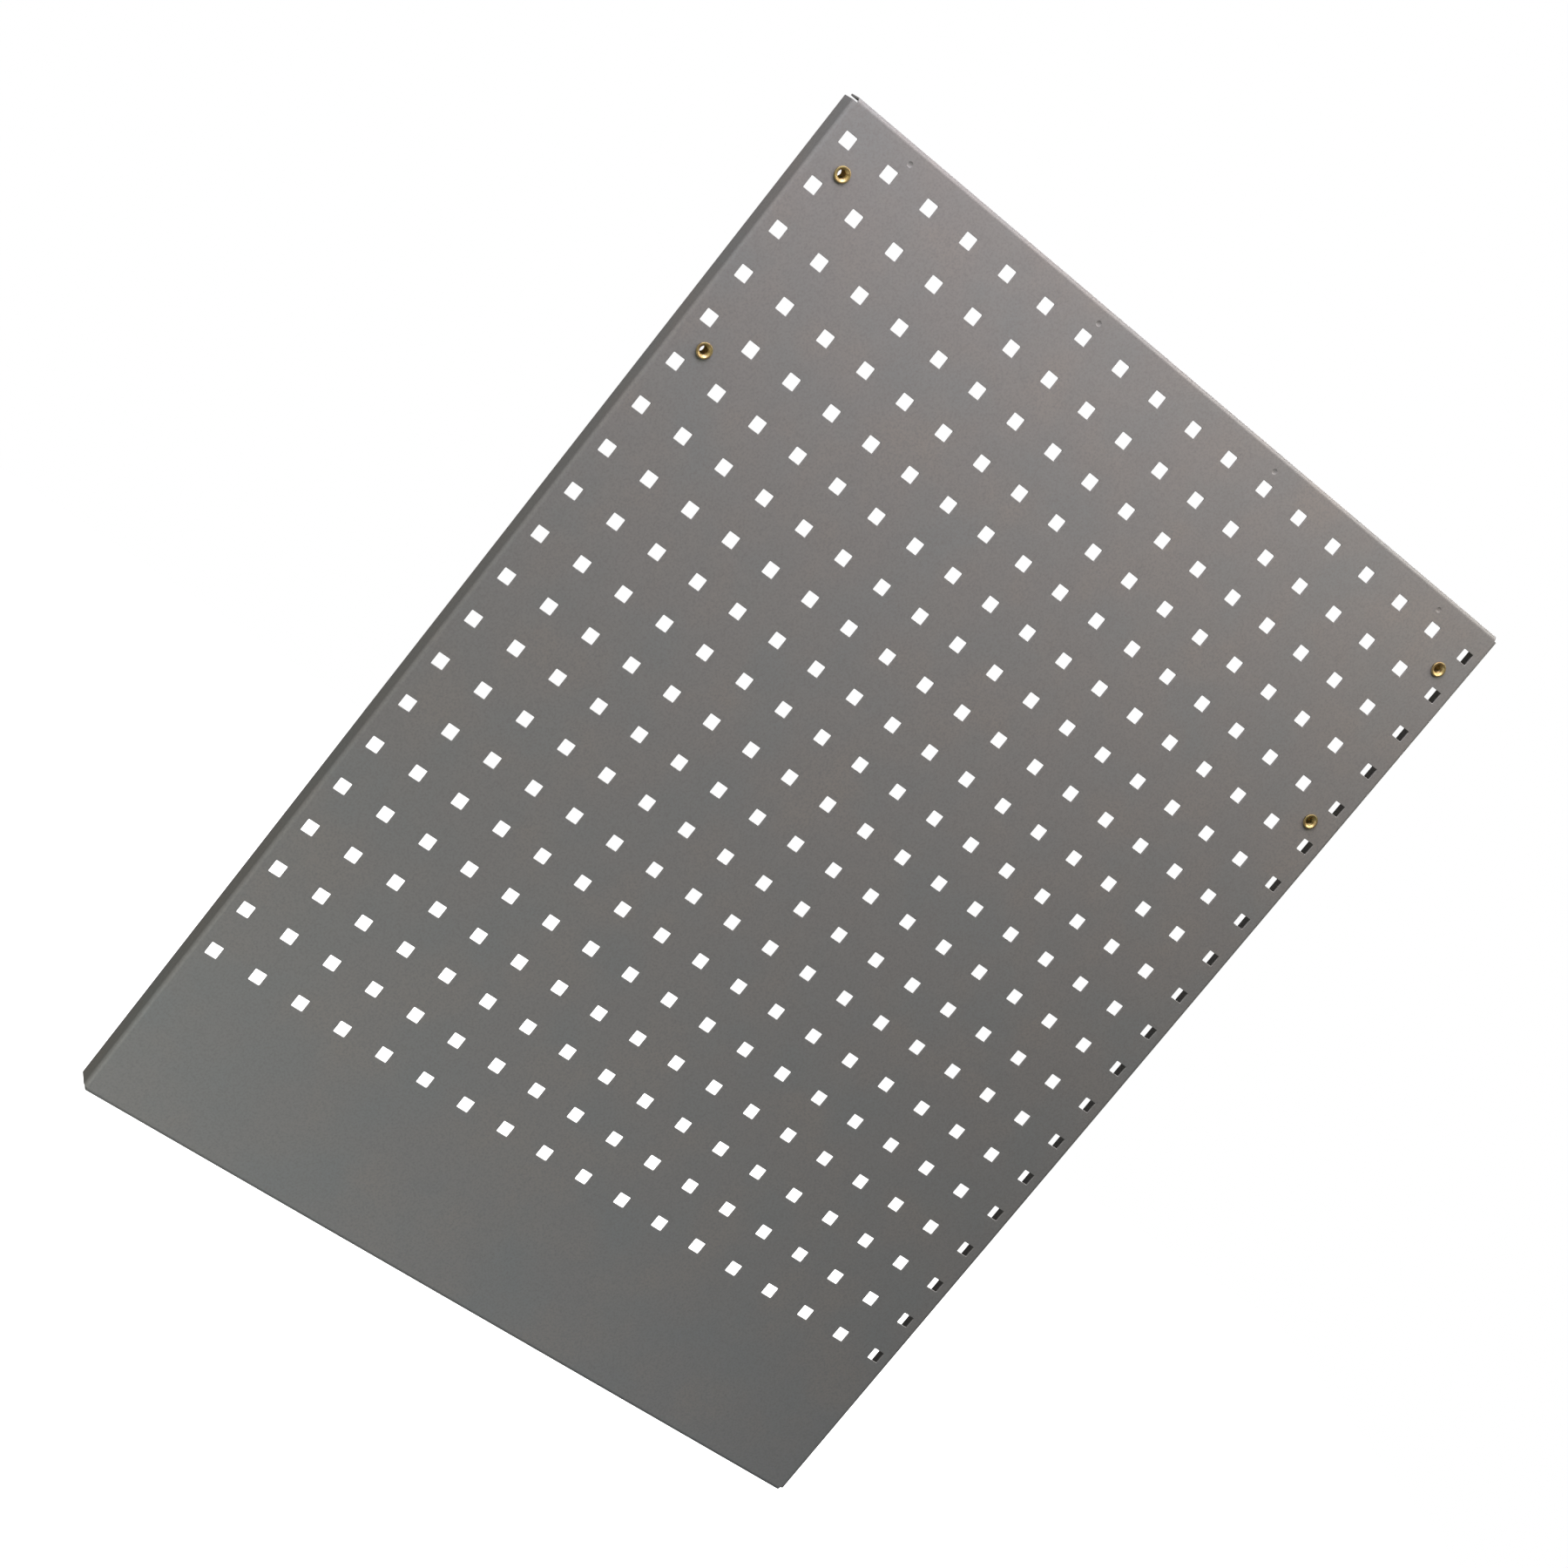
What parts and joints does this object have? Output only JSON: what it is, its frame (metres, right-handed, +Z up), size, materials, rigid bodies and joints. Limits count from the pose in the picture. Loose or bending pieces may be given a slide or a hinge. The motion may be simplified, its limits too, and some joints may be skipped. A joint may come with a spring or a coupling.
{
  "type": "pegboard tool panel",
  "caption": "Folded sheet-steel tool panel for a workshop wall, with a grid of square hook holes, a hanging rail behind its top edge and threaded inserts in its upper corners.",
  "frame": {"origin": "middle of the hanging rail's flat back face, in the plane of the wall", "axes": "+Z up, +Y into the wall, so the front face looks along -Y and +X is to the viewer's right"},
  "size_m": [0.676, 0.0233, 0.889],
  "materials": {
    "panel_paint": "fine-textured mid-grey powder coat",
    "rail_paint": "fine-textured mid-grey powder coat",
    "insert_plating": "yellow-passivated zinc plate"
  },
  "bodies": {
    "root": {"perforated_panel": "panel_paint", "hanging_rail": "rail_paint", "threaded_insert_upper_left": "insert_plating", "threaded_insert_upper_right": "insert_plating", "threaded_insert_lower_left": "insert_plating", "threaded_insert_lower_right": "insert_plating"}
  },
  "joints": []
}
